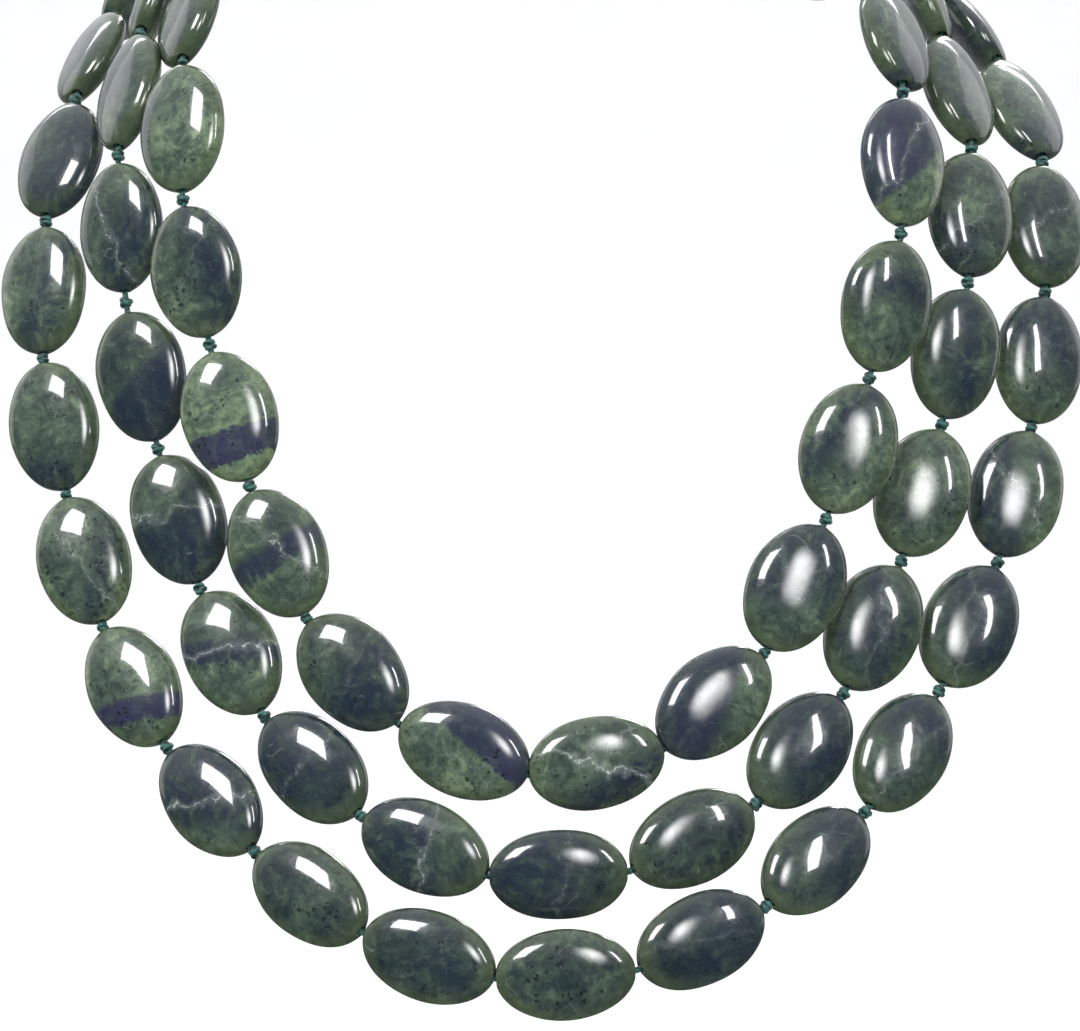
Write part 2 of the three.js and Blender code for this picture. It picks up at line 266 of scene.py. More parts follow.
def bead_frames(route, left_knot, right_knot):
    """Each bead's frame: it hangs straight from knot to knot. A knot stands at 5/8 of the sum of
    its two neighbouring middles, less 1/8 of the sum of the next ones out."""
    rows = np.array(route, float)
    chain = np.vstack([left_knot, rows[:, :3] * MM, right_knot])
    before = np.vstack([chain[:1], chain[:-2]])
    after = np.vstack([chain[2:], chain[-1:]])
    knots = (chain[:-1] + chain[1:]) * 5 / 8 - (before + after) / 8
    middle = (knots[:-1] + knots[1:]) / 2
    along = unit(knots[1:] - knots[:-1])
    turn = np.radians(rows[:, 3])
    lean = np.radians(np.interp(rows[:, 2], list(LEANS), list(LEANS.values())))
    width = np.interp(rows[:, 2], list(WIDTHS), list(WIDTHS.values())) * MM
    face = np.stack(
        [np.sin(turn) * np.cos(lean), -np.cos(turn) * np.cos(lean), np.sin(lean)], axis=1
    )
    normal, side = squared(face, along)
    return [Frame(*parts) for parts in zip(middle, along, side, normal, width)]


def grid_faces(rings, sides, joined):
    """Quads between neighbouring rings of a grid, each ring closed round."""
    index = np.arange(rings * sides).reshape(rings, sides)
    near = index if joined else index[:-1]
    far = np.roll(index, -1, axis=0) if joined else index[1:]
    corners = [near, np.roll(near, -1, axis=1), np.roll(far, -1, axis=1), far]
    return np.stack(corners, axis=-1).reshape(-1, 4)


def volume_of(points, quads):
    """Six times the signed volume inside the quads: each quad's triangles against the origin."""
    a, b, c, d = (points[quads[:, k]] for k in range(4))
    first = np.einsum("ij,ij->i", a, np.cross(b, c))
    second = np.einsum("ij,ij->i", a, np.cross(c, d))
    return float(np.sum(first + second))


def shell(points, joined=False, **values):
    """A closed surface from a grid of points, rings by sides. Its rings are joined end to end, or
    its first and last ring are each drawn to a middle point. values are numbers or vectors over
    the grid, kept on the mesh under their names."""
    rings, sides = points.shape[:2]
    if joined:
        flat = points.reshape(-1, 3)
        quads = grid_faces(rings, sides, joined)
        kept = {name: grid.reshape(rings * sides, -1) for name, grid in values.items()}
    else:
        def capped(grid):
            first = np.broadcast_to(grid[:1].mean(axis=1, keepdims=True), grid[:1].shape)
            last = np.broadcast_to(grid[-1:].mean(axis=1, keepdims=True), grid[-1:].shape)
            return np.concatenate([first, grid, last])

        flat = capped(points).reshape(-1, 3)
        quads = grid_faces(rings + 2, sides, joined)
        kept = {name: capped(grid).reshape((rings + 2) * sides, -1)
                for name, grid in values.items()}
    if volume_of(flat - flat.mean(axis=0), quads) < 0:
        quads = quads[:, ::-1]
    return flat, quads, kept


def make_piece(name, shells, material, slot, *nodes):
    """One object from one or more shells: it replaces its CAD nodes and rides on the root."""
    points, faces, values, start = [], [], {}, 0
    for flat, quads, kept in shells:
        points.append(flat)
        faces.append(quads + start)
        start += len(flat)
        for key, grid in kept.items():
            values.setdefault(key, []).append(grid)
    mesh = bpy.data.meshes.new(name)
    mesh.from_pydata(np.concatenate(points).tolist(), [], np.concatenate(faces).tolist())
    for key, grids in values.items():
        data = np.concatenate(grids).astype(np.float32)
        kind, field = ("FLOAT_VECTOR", "vector") if data.shape[1] == 3 else ("FLOAT", "value")
        layer = mesh.attributes.new(key, kind, "POINT")
        layer.data.foreach_set(field, data.ravel())
    weld(mesh)
    mesh.polygons.foreach_set("use_smooth", np.ones(len(mesh.polygons), bool))
    mesh.materials.append(material)
    piece = bpy.data.objects.new(name, mesh)
    bpy.context.scene.collection.objects.link(piece)
    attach(piece, "root")
    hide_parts(*nodes)


def weld(mesh):
    """Merges the points that fall together where a shell is drawn to a middle point."""
    work = bmesh.new()
    work.from_mesh(mesh)
    bmesh.ops.remove_doubles(work, verts=work.verts, dist=TOUCHING)
    bmesh.ops.dissolve_degenerate(work, edges=work.edges, dist=TOUCHING)
    work.to_mesh(mesh)
    work.free()


def in_frame(frame, side, along, normal):
    """Points given by their offsets in a frame."""
    return (
        frame.middle
        + side[..., None] * frame.side
        + along[..., None] * frame.along
        + normal[..., None] * frame.normal
    )


def bead_shell(frame, stone, luck):
    """A drilled puffed oval. At the angle a from one tip the section's half-width is
    sqrt((W/2 sin a)^2 + (mouth cos a)^2) and its half-thickness T/2 sqrt(1 - |cos a|^2.4), no
    less than the mouth; round the section the offset is half-width times cos^(2/2.4) and
    half-thickness times sin. The rings end in a countersink and go back through the bore. Each
    bead is a little fuller towards one end, and its faces are a little uneven, as hand-cut
    stones are."""
    angle = np.linspace(0, math.pi, BEAD_RINGS)
    cosine, sine = np.cos(angle), np.sin(angle)
    fuller = 1 + luck.uniform(-FULLER, FULLER) * cosine
    wide = np.sqrt((frame.width / 2 * sine) ** 2 + (MOUTH_RADIUS * cosine) ** 2) * fuller
    dome = BEAD_THICKNESS / 2 * np.sqrt(1 - np.abs(cosine) ** PUFF)
    thick = np.sqrt(dome**2 + (MOUTH_RADIUS * cosine) ** 2)
    along = -BEAD_LENGTH / 2 * cosine
    power = np.interp(sine, [0, ROUND_BELOW], [1, 2 / PUFF])
    inner = BEAD_LENGTH / 2 - COUNTERSINK
    bore_along = np.array([inner, 0, -inner])
    bore = np.full(3, BORE_RADIUS)
    along = np.concatenate([along, bore_along])[:, None]
    wide = np.concatenate([wide, bore])[:, None]
    thick = np.concatenate([thick, bore])[:, None]
    power = np.concatenate([power, np.ones(3)])[:, None]
    around = np.linspace(0, 2 * math.pi, BEAD_SIDES, endpoint=False)[None, :]
    across = np.sign(np.cos(around)) * np.abs(np.cos(around)) ** power
    over = np.sin(around)
    phase = luck.uniform(0, 2 * math.pi, 3)
    uneven = 1 + UNEVEN * np.sin(3 * along / BEAD_LENGTH * math.pi + phase[0]) * np.sin(
        2 * around + phase[1]
    )
    skin = wide > BORE_RADIUS
    uneven = np.where(skin, uneven, 1)
    side = wide * across * uneven
    normal = thick * over * uneven
    along = np.broadcast_to(along, side.shape)
    # The markings run through the stone, so they are laid out on its own offsets.
    local = np.stack([side, along, normal], axis=-1) / MM
    seed = luck.uniform(-SEED_REACH, SEED_REACH, 3)
    return shell(
        in_frame(frame, side, along, normal),
        joined=True,
        stone=local + seed,
        patch=across_line(frame, local, stone.patch_towards) - stone.patch_from,
        patch_wide=np.full(side.shape, stone.patch_wide, float),
        blur=np.full(side.shape, stone.blur, float),
        vein=across_line(frame, local, stone.vein_way + 90) + luck.uniform(-1, 1),
        vein_strength=np.full(side.shape, stone.vein, float),
        green=np.full(side.shape, stone.green, float),
        specks=np.full(side.shape, stone.specks, float),
        rim=np.sqrt((side / (frame.width / 2)) ** 2 + (along / (BEAD_LENGTH / 2)) ** 2),
    )


def across_line(frame, local, towards):
    """How far each point lies from the bead's middle in a direction seen from the front."""
    way = np.array([math.cos(math.radians(towards)), 0, math.sin(math.radians(towards))])
    return local[..., 0] * (frame.side @ way) + local[..., 1] * (frame.along @ way)


def gap_between(first, second):
    """The middle, the way and the length of the gap between two beads' tips."""
    start = first.middle + first.along * BEAD_LENGTH / 2
    end = second.middle - second.along * BEAD_LENGTH / 2
    gap = end - start
    return (start + end) / 2, unit(gap), float(np.linalg.norm(gap))


def knot_size(gap):
    """A knot's radius: it is smaller in a narrow gap."""
    return KNOT_RADIUS * min(max(gap / WIDE_GAP, LEAST_KNOT), 1)


def knot_path(middle, way, face, size, turn):
    """An overhand knot pulled tight: the thread goes forward, back over itself and forward again
    while it winds round the strand, swelling out to the knot's radius and in again. For t from
    -1 to 1 it has run size (2.2 t^3 - 1.4 t) along, and its radius, 1.15 size less the thread's,
    is drawn in at the ends by the sine of half a turn from end to end, to the power 0.7."""
    step = np.linspace(0, 1, KNOT_STEPS)
    radius = (1.15 * size - THREAD_RADIUS) * np.sin(math.pi * step) ** 0.7
    wound = 2 * math.pi * KNOT_TURNS * step + turn
    through = 2 * step - 1
    run = size * (2.2 * through**3 - 1.4 * through)
    normal, side = squared(face, way)
    return (
        middle
        + run[:, None] * way
        + (radius * np.cos(wound))[:, None] * normal
        + (radius * np.sin(wound))[:, None] * side
    )


def strand_path(frames, luck):
    """The thread through these beads: straight in each bore, knotted in each gap."""
    pieces = []
    for i, frame in enumerate(frames):
        if i:
            middle, way, gap = gap_between(frames[i - 1], frame)
            turn = luck.uniform(0, ANY_TURN)
            pieces.append(knot_path(middle, way, frame.normal, knot_size(gap), turn))
        steps = np.linspace(-INSIDE_BORE, INSIDE_BORE, BORE_STEPS)[:, None]
        pieces.append(frame.middle + steps * frame.along)
    return np.concatenate(pieces)


def thread_shell(path):
    """A thread, a round tube along a path. Each ring's side is the last ring's side squared to
    the path again, so the tube doesn't twist. It keeps how far along and how far round each
    point is."""
    ways = unit(np.gradient(path, axis=0) + 1e-12)
    side = squared(FIRST_SIDE, ways[0])[0]
    first, second = [], []
    for way in ways:
        side, other = squared(side, way)
        first.append(side)
        second.append(other)
    turn = np.linspace(0, 2 * math.pi, THREAD_SIDES, endpoint=False)
    ring = (
        np.array(first)[:, None] * np.cos(turn)[None, :, None]
        + np.array(second)[:, None] * np.sin(turn)[None, :, None]
    )
    length = np.concatenate([[0], np.cumsum(np.linalg.norm(np.diff(path, axis=0), axis=1))])
    laid = np.stack(
        np.broadcast_arrays(np.cos(turn)[None, :], np.sin(turn)[None, :], length[:, None] / MM),
        axis=-1,
    )
    return shell(path[:, None] + THREAD_RADIUS * ring, laid=laid)


def tied_path(knot, hole, first_bead, luck):
    """The thread at the clasp: once through the loop, a knot, and on into the first bead."""
    sideways = np.sign(knot[0] - hole[0])
    near = hole[0] + sideways * PAST_HOLE
    turn = np.linspace(TIE_OPENING, 2 * math.pi - TIE_OPENING, TIE_STEPS)
    reach = (knot[0] - near) / 2
    ring = np.stack(
        [
            (knot[0] + near) / 2 + reach * np.cos(turn),
            knot[1] + TIE_HALF_WIDTH * np.sin(turn),
            np.full(TIE_STEPS, knot[2]),
        ],
        axis=1,
    )
    way, face = np.array([sideways, 0, 0]), np.array([0, 1.0, 0])
    tie = knot_path(knot, way, face, KNOT_RADIUS, luck.uniform(0, ANY_TURN))
    entry = first_bead.middle - first_bead.along * INSIDE_BORE
    return np.concatenate([ring, tie, [entry]])


# Clasp.
def ring_of(radius, height, sides=48):
    """Rings about the vertical axis: a profile of radii and heights carried round it."""
    turn = np.linspace(0, 2 * math.pi, sides, endpoint=False)
    grid = radius[:, None] * np.ones(sides)
    return np.stack([grid * np.cos(turn), grid * np.sin(turn),
                     height[:, None] * np.ones(sides)], axis=-1)


def at_clasp(points, x=0.0, z=0.0):
    return points + np.array([x, CLASP_MIDDLE, z])


def rounded_profile(radius, low, high, edge):
    """Radii and heights of a round bar with rounded ends: a quarter circle at each edge."""
    turn = np.linspace(0, math.pi / 2, 7)
    lower = np.stack([radius - edge + edge * np.sin(turn), low + edge - edge * np.cos(turn)])
    upper = np.stack([radius - edge + edge * np.cos(turn), high - edge + edge * np.sin(turn)])
    return np.concatenate([lower, upper], axis=1)


def turned_shell(sizes):
    """A turned part of the clasp from its sizes in millimetres."""
    return shell(at_clasp(ring_of(*rounded_profile(*(size * MM for size in sizes)))))


def tube_wall():
    """The slotted tube: its wall's section, a thin rounded bar with a raised band at each end,
    carried round the axis from one lip of the slot to the other."""
    half = TUBE_LENGTH / 2
    height = np.linspace(-half, half, TUBE_RINGS)
    from_end = half - np.abs(height)
    band = BAND_RISE * np.exp(-(((from_end - BAND_FROM_END) / BAND_HALF) ** 4))
    lip = TUBE_LIP * (from_end < TUBE_LIP)
    outer = TUBE_RADIUS - lip + band
    inner = TUBE_BORE + lip
    radius = np.concatenate([outer, inner[::-1]])
    height = np.concatenate([height, height[::-1]])
    edge = math.asin(SLOT_WIDTH / 2 / TUBE_RADIUS)
    turn = np.linspace(edge, 2 * math.pi - edge, TUBE_SIDES)[:, None]
    points = np.stack(
        [np.cos(turn) * radius, np.sin(turn) * radius, np.ones_like(turn) * height], axis=-1
    )
    return shell(at_clasp(points))


def loop_shell(x, z):
    """A loop for a strand: a wire ring lying flat against the clasp's side."""
    big = np.linspace(0, 2 * math.pi, LOOP_STEPS, endpoint=False)[:, None]
    small = np.linspace(0, 2 * math.pi, LOOP_SIDES, endpoint=False)[None, :]
    reach = LOOP_RADIUS + LOOP_WIRE * np.cos(small)
    points = np.stack(
        [reach * np.cos(big), LOOP_WIRE * np.sin(small) * np.ones_like(big), reach * np.sin(big)],
        axis=-1,
    )
    return shell(at_clasp(points, x, z), joined=True)


def solder_shell(x, z):
    """A small blob of solder, an ellipsoid, where a loop meets the clasp."""
    turn = np.linspace(0.05, math.pi - 0.05, SOLDER_STEPS)
    radius, height = SOLDER_RADIUS * np.sin(turn), -SOLDER_HALF_LENGTH * np.cos(turn)
    return shell(at_clasp(ring_of(radius, height, SOLDER_SIDES), x, z))


def web_shell():
    """The slide's web: a flat bar with rounded edges, its section a superellipse."""
    turn = np.linspace(0, 2 * math.pi, WEB_SIDES, endpoint=False)
    half = (WEB_REACH - SLIDE_RADIUS / 2) / 2
    across = half * np.sign(np.cos(turn)) * np.abs(np.cos(turn)) ** 0.3
    through = WEB_THICKNESS / 2 * np.sign(np.sin(turn)) * np.abs(np.sin(turn)) ** 0.5
    height = np.array([-0.5, -0.497, -0.49, 0.49, 0.497, 0.5]) * SLIDE_LENGTH
    shrink = np.array([0.75, 0.93, 1, 1, 0.93, 0.75])
    points = np.stack(
        [
            SLIDE_RADIUS / 2 + half + shrink[:, None] * across,
            shrink[:, None] * through,
            height[:, None] * np.ones(WEB_SIDES),
        ],
        axis=-1,
    )
    return shell(at_clasp(points))


def make_clasp(silver):
    rows = [row * LOOP_SPACING for row in (-1, 0, 1)]
    make_piece(
        "clasp_tube_silver",
        [tube_wall(), turned_shell(TUBE_FOOT), turned_shell(TUBE_BEAD)]
        + [loop_shell(TUBE_LOOP, z) for z in rows]
        + [solder_shell(-TUBE_RADIUS, z) for z in rows],
        silver, "silver", "clasp_tube",
    )
    make_piece(
        "clasp_slide_silver",
        [turned_shell(sizes) for sizes in (SLIDE_ROD, SLIDE_COLLAR, SLIDE_KNOB)]
        + [web_shell()]
        + [loop_shell(SLIDE_LOOP, z) for z in rows]
        + [solder_shell(WEB_REACH, z) for z in rows],
        silver, "silver", "clasp_slide",
    )


# Materials.
def add_node(tree, kind, inputs=(), **settings):
    """A node with its settings, and for each named or numbered input a link or a value."""
    node = tree.nodes.new(kind)
    for key, value in settings.items():
        setattr(node, key, value)
    for key, value in dict(inputs).items():
        if isinstance(value, bpy.types.NodeSocket):
            tree.links.new(value, node.inputs[key])
        else:
            node.inputs[key].default_value = value
    return node


def maths(tree, operation, first, second=0.0):
    node = add_node(tree, "ShaderNodeMath", {0: first, 1: second}, operation=operation)
    return node.outputs[0]


def times(tree, first, second):
    return maths(tree, "MULTIPLY", first, second)


def plus(tree, first, second):
    return maths(tree, "ADD", first, second)


def minus(tree, first, second):
    return maths(tree, "SUBTRACT", first, second)


def swing(tree, value, reach):
    """A noise, which keeps about 0.5, made to swing about 0 and reach times as far."""
    return times(tree, minus(tree, value, 0.5), reach)


def noise(tree, vector, scale, detail=4.0, rough=0.55):
    node = add_node(tree, "ShaderNodeTexNoise", {
        "Vector": vector, "Scale": scale, "Detail": detail, "Roughness": rough,
    })
    return node.outputs["Fac"]


def fade(tree, value, low, high, start=0.0, end=1.0):
    """A smooth step from start to end as the value goes from low to high."""
    node = add_node(tree, "ShaderNodeMapRange", {
        "Value": value, "From Min": low, "From Max": high, "To Min": start, "To Max": end,
    }, interpolation_type="SMOOTHSTEP")
    return node.outputs["Result"]


def blend_colours(tree, share, first, second):
    node = add_node(tree, "ShaderNodeMix", {0: share, 6: first, 7: second}, data_type="RGBA")
    return node.outputs[2]


def bumped(tree, shader, height, strength, distance):
    """Feeds a relief to the shader, distance metres deep."""
    bump = add_node(tree, "ShaderNodeBump", {
        "Height": height, "Strength": strength, "Distance": distance})
    tree.links.new(bump.outputs[0], shader.inputs["Normal"])


def colour(red, green, blue):
    """A colour from 0 to 255 as seen on a screen, as the linear one that shaders use."""
    seen = np.array([red, green, blue]) / 255
    linear = np.where(seen <= 0.04045, seen / 12.92, ((seen + 0.055) / 1.055) ** 2.4)
    return (*linear.tolist(), 1.0)


# The stone's colours. A ramp's rows are a place from 0 to 1 and its colour.
JADE_GREENS = [
    (0.0, colour(24, 36, 43)), (0.25, colour(39, 51, 52)), (0.5, colour(57, 71, 63)),
    (0.72, colour(79, 95, 80)), (1.0, colour(114, 132, 103)),
]
BLUE_BLACK = colour(26, 38, 51)
PURPLE_BLACK = colour(41, 41, 69)
BLUE_FLECKS = colour(60, 73, 92)
VEIN = colour(168, 178, 172)
CHROMITE = colour(17, 25, 26)
# Painted glow for the thin rim of a bead, as if light came through the stone.
PAINTED_RIM_GLOW = colour(84, 98, 58)

THREAD_SHADE = colour(15, 56, 53)
THREAD_LIGHT = colour(54, 119, 109)
# Painted shade for the groove between the plies.
PAINTED_GROOVE_SHADE = colour(6, 24, 24)
# How far along the thread one ply goes round once, in millimetres.
PLY_TURN = 1.3


def ramp(tree, value, stops):
    node = add_node(tree, "ShaderNodeValToRGB", {0: value})
    bar = node.color_ramp
    while len(bar.elements) < len(stops):
        bar.elements.new(0.5)
    for element, (place, tint) in zip(bar.elements, stops):
        element.position = place
        element.color = tint
    return node.outputs["Color"]


def new_material(name):
    material = bpy.data.materials.new(name)
    material.use_nodes = True
    tree = material.node_tree
    return material, tree, tree.nodes["Principled BSDF"]


def attribute(tree, name, output="Fac"):
    return add_node(tree, "ShaderNodeAttribute", attribute_name=name).outputs[output]


def handling_group():
    """Wear from handling: where a polished skin is a little duller, and its faint scratches."""
    group = bpy.data.node_groups.new("handling", "ShaderNodeTree")
    face = group.interface
    face.new_socket("Place", in_out="INPUT", socket_type="NodeSocketVector")
    for name, value in (("Polished", 0.06), ("Dull", 0.16)):
        socket = face.new_socket(name, in_out="INPUT", socket_type="NodeSocketFloat")
        socket.default_value = value
    face.new_socket("Roughness", in_out="OUTPUT", socket_type="NodeSocketFloat")
    face.new_socket("Scratches", in_out="OUTPUT", socket_type="NodeSocketFloat")
    given = group.nodes.new("NodeGroupInput")
    smears = noise(group, given.outputs["Place"], 0.6, 5.0, 0.6)
    share = fade(group, smears, 0.42, 0.72)
    dull = add_node(group, "ShaderNodeMix", {
        0: share, 2: given.outputs["Polished"], 3: given.outputs["Dull"],
    }).outputs[0]
    stretched = add_node(group, "ShaderNodeMapping", {
        "Vector": given.outputs["Place"], "Scale": (9.0, 0.5, 3.0), "Rotation": (0.4, 0.7, 0.5),
    }).outputs[0]
    scratches = fade(group, noise(group, stretched, 1.0, 3.0, 0.6), 0.66, 0.7)
    out = group.nodes.new("NodeGroupOutput")
    group.links.new(dull, out.inputs["Roughness"])
    group.links.new(scratches, out.inputs["Scratches"])
    return group


def handled(tree, group, place, polished, dull):
    node = add_node(tree, "ShaderNodeGroup", node_tree=group)
    tree.links.new(place, node.inputs["Place"])
    node.inputs["Polished"].default_value = polished
    node.inputs["Dull"].default_value = dull
    return node.outputs["Roughness"], node.outputs["Scratches"]


def jade_green(tree, cloud, mottle, grain):
    """Clouds of lighter and darker green about the tone of the bead's own stone."""
    shift = plus(tree, swing(tree, cloud, 1.3), swing(tree, mottle, 1.3))
    tone = plus(tree, attribute(tree, "green"), shift)
    return ramp(tree, plus(tree, tone, swing(tree, grain, 0.3)), JADE_GREENS)


def dark_patch(tree, swirl, mottle):
    """How far the dark patch covers each point. Its edge is ragged and as soft as blur says, and
    the green shows through it in streaks, more where the edge is soft."""
    blur = attribute(tree, "blur")
    torn = plus(tree, times(tree, blur, 1.8), 2.4)
    into = plus(tree, attribute(tree, "patch"), swing(tree, mottle, torn))
    out_of = minus(tree, attribute(tree, "patch_wide"), into)
    back = times(tree, blur, -1.0)
    patch = times(tree, fade(tree, into, back, blur), fade(tree, out_of, back, blur))
    streaks = add_node(tree, "ShaderNodeMapping", {
        "Vector": swirl, "Scale": (1.0, 0.35, 0.6), "Rotation": (0.2, 0.3, 0.9)}).outputs[0]
    through = fade(tree, blur, 0.3, 2.0, 0.8, 0.3)
    thinner = fade(tree, noise(tree, streaks, 0.9, 5.0, 0.62), 0.34, 0.62, through, 0.95)
    return times(tree, patch, thinner)


def pale_veins(tree, stone):
    """A thin broken line in a faint haze where the bead's marking puts its vein, and a hairline
    here and there, where a slow noise crosses its middle value."""
    wander = swing(tree, noise(tree, stone, 0.3, 4.0), 6.0)
    from_vein = maths(tree, "ABSOLUTE", plus(tree, attribute(tree, "vein"), wander))
    haze = fade(tree, from_vein, 0.1, 0.9, 0.16, 0)
    core = fade(tree, from_vein, 0.02, 0.13, 1, 0)
    broken = fade(tree, noise(tree, stone, 1.3, 3.0), 0.4, 0.56)
    line = maths(tree, "MAXIMUM", haze, times(tree, core, broken))
    line = times(tree, line, attribute(tree, "vein_strength"))
    ridge = maths(tree, "ABSOLUTE", minus(tree, noise(tree, stone, 0.12, 1.0), 0.5))
    seldom = fade(tree, noise(tree, stone, 0.35, 1.0), 0.56, 0.66, 0, 0.22)
    hair = times(tree, fade(tree, ridge, 0.0, 0.005, 1, 0), seldom)
    return maths(tree, "MAXIMUM", line, hair)


def black_specks(tree, stone):
    """Specks of chromite, one at most in each cell of a jittered pattern, gathered in places."""
    jitter = add_node(tree, "ShaderNodeTexNoise", {
        "Vector": stone, "Scale": 1.6, "Detail": 2.0}).outputs["Color"]
    uneven = add_node(tree, "ShaderNodeVectorMath", {0: jitter, 1: (1.3, 1.3, 1.3), 2: stone},
                      operation="MULTIPLY_ADD").outputs[0]
    cells = add_node(tree, "ShaderNodeTexVoronoi", {"Vector": uneven, "Scale": 1.05})
    gathered = fade(tree, noise(tree, stone, 0.22, 2.0), 0.4, 0.58)
    odds = add_node(tree, "ShaderNodeSeparateXYZ", {0: cells.outputs["Color"]}).outputs[0]
    chosen = plus(tree, odds, times(tree, gathered, attribute(tree, "specks")))
    size = fade(tree, chosen, 0.85, 1.3, 0, 0.35)
    return fade(tree, minus(tree, size, cells.outputs["Distance"]), -0.02, 0.07)


def jade_material(handling):
    """Polished nephrite: clouds of lighter and darker green, a blue-black or purplish patch with
    a ragged edge, pale veins, black specks, and a painted glow: a yellower rim where the stone
    is thin, as if light came through it."""
    material, tree, shader = new_material("nephrite")
    stone = attribute(tree, "stone", "Vector")
    drift = add_node(tree, "ShaderNodeTexNoise", {
        "Vector": stone, "Scale": 0.22, "Detail": 3.0}).outputs["Color"]
    centred = add_node(tree, "ShaderNodeVectorMath", {0: drift, 1: (0.5, 0.5, 0.5)},
                       operation="SUBTRACT").outputs[0]
    swirl = add_node(tree, "ShaderNodeVectorMath", {0: centred, 1: (5, 5, 5), 2: stone},
                     operation="MULTIPLY_ADD").outputs[0]
    cloud = noise(tree, swirl, 0.17, 6.0, 0.6)
    mottle = noise(tree, swirl, 0.75, 6.0, 0.65)
    grain = noise(tree, stone, 3.2, 3.0, 0.6)

    green = jade_green(tree, cloud, mottle, grain)
    patch = dark_patch(tree, swirl, mottle)
    purple = times(tree, fade(tree, noise(tree, stone, 0.09, 2.0), 0.4, 0.65, 0.4, 1),
                   fade(tree, attribute(tree, "blur"), 0.4, 1.1, 1, 0.1))
    dark = blend_colours(tree, purple, BLUE_BLACK, PURPLE_BLACK)
    dark = blend_colours(tree, fade(tree, grain, 0.5, 0.8, 0, 0.3), dark, BLUE_FLECKS)
    body = blend_colours(tree, patch, green, dark)
    body = blend_colours(tree, pale_veins(tree, stone), body, VEIN)
    speck = black_specks(tree, stone)
    body = blend_colours(tree, times(tree, speck, 0.75), body, CHROMITE)

    # Painted glow: the thin rim is painted yellower, as if light came through it, and less so on
    # the dark patch.
    thin = times(tree, fade(tree, attribute(tree, "rim"), 0.72, 1.0),
                 fade(tree, patch, 0.0, 1.0, 0.34, 0.08))
    body = blend_colours(tree, thin, body, PAINTED_RIM_GLOW)
    tree.links.new(body, shader.inputs["Base Color"])

    rough, scratches = handled(tree, handling, stone, 0.17, 0.3)
    tree.links.new(rough, shader.inputs["Roughness"])
    height = plus(tree, times(tree, speck, -0.4), noise(tree, stone, 0.5, 2.0))
    height = plus(tree, height, times(tree, scratches, -0.03))
    bumped(tree, shader, height, 0.35, 0.12 * MM)
    shader.inputs["IOR"].default_value = 1.62
    shader.inputs["Specular IOR Level"].default_value = 0.22
    shader.inputs["Coat Weight"].default_value = 1.0
    shader.inputs["Coat Roughness"].default_value = 0.035
    shader.inputs["Coat IOR"].default_value = 1.5
    return material


def thread_material():
    """Twisted teal thread: two plies wound round each other, with painted shade in the groove
    between them, a dark line.
    """
    material, tree, shader = new_material("teal_thread")
    laid = attribute(tree, "laid", "Vector")
    parts = add_node(tree, "ShaderNodeSeparateXYZ", {0: laid})
    round_about = maths(tree, "ARCTAN2", parts.outputs[1], parts.outputs[0])
    along = times(tree, parts.outputs[2], 2 * math.pi / PLY_TURN)
    twist = plus(tree, times(tree, round_about, 2.0), along)
    ply = maths(tree, "SINE", twist)
    fibre = add_node(tree, "ShaderNodeMapping", {
        "Vector": laid, "Scale": (9.0, 9.0, 1.6)}).outputs[0]
    fibres = noise(tree, fibre, 1.0, 3.0)
    # Painted shade: the groove between the two plies is darkened.
    painted_groove_shade = fade(tree, ply, -1.0, -0.1, 1, 0)
    body = blend_colours(tree, fade(tree, fibres, 0.35, 0.65), THREAD_SHADE, THREAD_LIGHT)
    body = blend_colours(tree, painted_groove_shade, body, PAINTED_GROOVE_SHADE)
    tree.links.new(body, shader.inputs["Base Color"])
    height = plus(tree, times(tree, ply, 0.5), times(tree, fibres, 0.3))
    bumped(tree, shader, height, 0.8, 0.15 * MM)
    shader.inputs["Roughness"].default_value = 0.42
    shader.inputs["Sheen Weight"].default_value = 0.35
    shader.inputs["Sheen Roughness"].default_value = 0.4
    return material


def silver_material(handling):
    """Polished silver, greyer in the smears, with faint scratches."""
    material, tree, shader = new_material("polished_silver")
    place = add_node(tree, "ShaderNodeTexCoord").outputs["Object"]
    scaled = add_node(tree, "ShaderNodeVectorMath", {0: place, 1: (900, 900, 900)},
                      operation="MULTIPLY").outputs[0]
    rough, scratches = handled(tree, handling, scaled, 0.14, 0.32)
    tarnish = fade(tree, noise(tree, scaled, 0.5, 4.0), 0.45, 0.75, 0, 0.5)
    body = blend_colours(tree, tarnish, colour(226, 224, 218), colour(168, 160, 146))
    tree.links.new(body, shader.inputs["Base Color"])
    tree.links.new(rough, shader.inputs["Roughness"])
    bumped(tree, shader, scratches, 0.25, 0.05 * MM)
    shader.inputs["Metallic"].default_value = 1.0
    return material


def paper_material():
    """The pale sweep behind the object, with the faintest mottling."""
    material, tree, shader = new_material("pale_sweep")
    place = add_node(tree, "ShaderNodeTexCoord").outputs["Object"]
    body = blend_colours(tree, noise(tree, place, 14.0, 3.0), colour(243, 243, 244),
                         colour(249, 249, 249))
    tree.links.new(body, shader.inputs["Base Color"])
    shader.inputs["Roughness"].default_value = 0.8
    return material


# Camera, lights and floor.
VIEW_CENTRE = (-0.4 * MM, -95 * MM, -95.5 * MM)
VIEW_DISTANCE = 560 * MM
VIEW_DOWN = 4
FOCAL_PIXELS = 4250
PHOTO_WIDTH = 1080
SENSOR = 36
FLOOR = -0.36
GLOW_FALL = 1.6
SEEN_BACKDROP = 0.9


def direction(azimuth, elevation):
    """The way from the object to something at this azimuth, 0 in front and 90 to the right."""
    turn, rise = math.radians(azimuth), math.radians(elevation)
    return Vector((math.sin(turn) * math.cos(rise), -math.cos(turn) * math.cos(rise),
                   math.sin(rise)))


